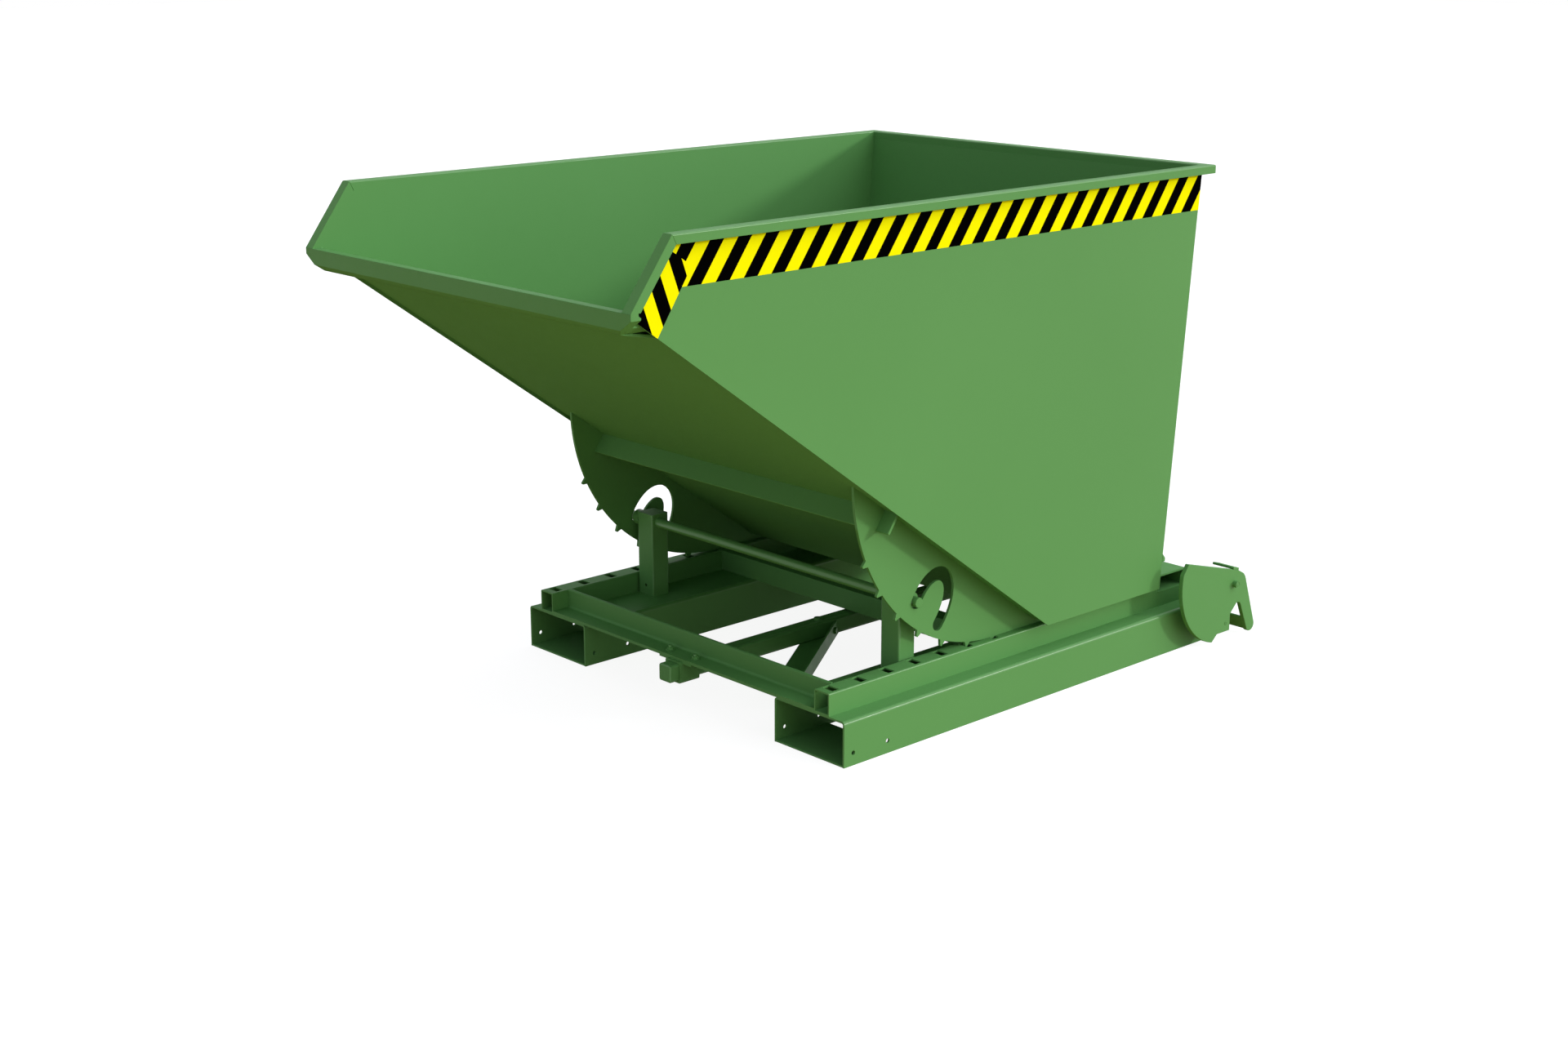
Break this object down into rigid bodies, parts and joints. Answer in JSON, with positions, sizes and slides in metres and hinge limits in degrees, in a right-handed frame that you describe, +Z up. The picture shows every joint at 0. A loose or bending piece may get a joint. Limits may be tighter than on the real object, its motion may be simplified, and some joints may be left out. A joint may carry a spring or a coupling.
{
  "type": "tipping hopper",
  "caption": "Forklift tipping hopper: a sheet-metal tub with rims and front lip rolls forward on toothed rockers along a base frame with fork pockets, release bar and rear hooks.",
  "frame": {"origin": "on the ground, at the centre of the whole part's plan box", "axes": "+Z up, -Y towards the dumping front, +X towards the side that is near in the picture"},
  "size_m": [1.062, 1.7195, 1.034],
  "materials": {
    "green_paint": "satin"
  },
  "bodies": {
    "base": {"fork_pocket_left": "green_paint", "fork_pocket_right": "green_paint", "pocket_straps": "green_paint", "roll_rail_left": "green_paint", "roll_rail_right": "green_paint", "front_cross_angle": "green_paint", "sleeve_bracket": "green_paint", "bracket_bolts": "green_paint", "mid_cross_member": "green_paint", "rear_cross_beam": "green_paint", "post_left": "green_paint", "post_right": "green_paint", "stop_bar": "green_paint", "stop_bar_collars": "green_paint", "hook_lugs": "green_paint", "hook_pins": "green_paint"},
    "release": {"release_bar": "green_paint", "release_bar_plug": "green_paint", "release_arm": "green_paint", "release_arm_bolt": "green_paint", "release_arm_screw": "green_paint"},
    "roll_carriage": {"roll_disc_left": "green_paint", "roll_disc_right": "green_paint"},
    "tub": {"tub_side_left": "green_paint", "tub_side_right": "green_paint", "tub_floor": "green_paint", "tub_rear_wall": "green_paint", "rim_left": "green_paint", "rim_right": "green_paint", "rim_rear": "green_paint", "front_flange_left": "green_paint", "front_flange_right": "green_paint", "front_lip": "green_paint", "lip_end_cap_left": "green_paint", "lip_end_cap_right": "green_paint", "rocker_left": "green_paint", "rocker_right": "green_paint", "cross_stiffener": "green_paint", "keeper_strip": "green_paint"},
    "hook_left": {"hook_plate_left": "green_paint", "hook_pedal_left": "green_paint", "hook_jaw_left": "green_paint"},
    "hook_right": {"hook_plate_right": "green_paint", "hook_pedal_right": "green_paint", "hook_jaw_right": "green_paint"}
  },
  "joints": [
    {"name": "roll_slide", "type": "slide", "parent": "base", "child": "roll_carriage", "axis": [0, -1, 0], "range_m": [0, 0.46]},
    {"name": "tub_tip", "type": "hinge", "parent": "roll_carriage", "child": "tub", "pos_m": [0, 0.0975, 0.524], "axis": [1, 0, 0], "range_deg": [0, 67.5]},
    {"name": "release_slide", "type": "slide", "parent": "base", "child": "release", "axis": [0, 1, 0], "range_m": [0, 0.03]},
    {"name": "hook_swing_left", "type": "hinge", "parent": "base", "child": "hook_left", "pos_m": [-0.516, 0.7785, 0.126], "axis": [1, 0, 0], "range_deg": [-8, 0]},
    {"name": "hook_swing_right", "type": "hinge", "parent": "base", "child": "hook_right", "pos_m": [0.516, 0.7785, 0.126], "axis": [1, 0, 0], "range_deg": [-8, 0]}
  ],
  "couplings": [
    {"joint": "roll_slide", "follows": "tub_tip", "m_per_rad": 0.388}
  ]
}
